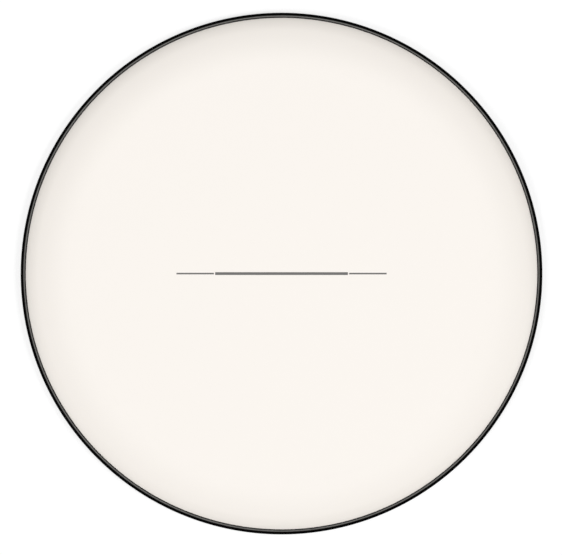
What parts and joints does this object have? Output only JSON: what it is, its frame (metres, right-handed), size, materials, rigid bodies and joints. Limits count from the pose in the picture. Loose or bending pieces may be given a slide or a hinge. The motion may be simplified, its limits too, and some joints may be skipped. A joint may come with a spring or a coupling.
{
  "type": "drum head",
  "caption": "Round timpani head: a shallow domed plastic film locked into a rolled black channel hoop round a steel ring, with a printed centre line.",
  "frame": {"origin": "on the axis, in the plane of the hoop's underside", "axes": "+Z along the axis out of the playing side; the printed centre line runs along X"},
  "size_m": [0.7874, 0.7874, 0.0192],
  "materials": {
    "hoop": "black anodised, satin",
    "film": "hazy cream polyester, satin",
    "insert": "dark drawn steel",
    "resin": "set dark resin",
    "ink": "grey printing ink"
  },
  "bodies": {
    "root": {"hoop_channel": "hoop", "membrane_film": "film", "steel_insert_ring": "insert", "bonding_resin": "resin", "centre_bar": "ink", "left_bar": "ink", "right_bar": "ink"}
  },
  "joints": []
}
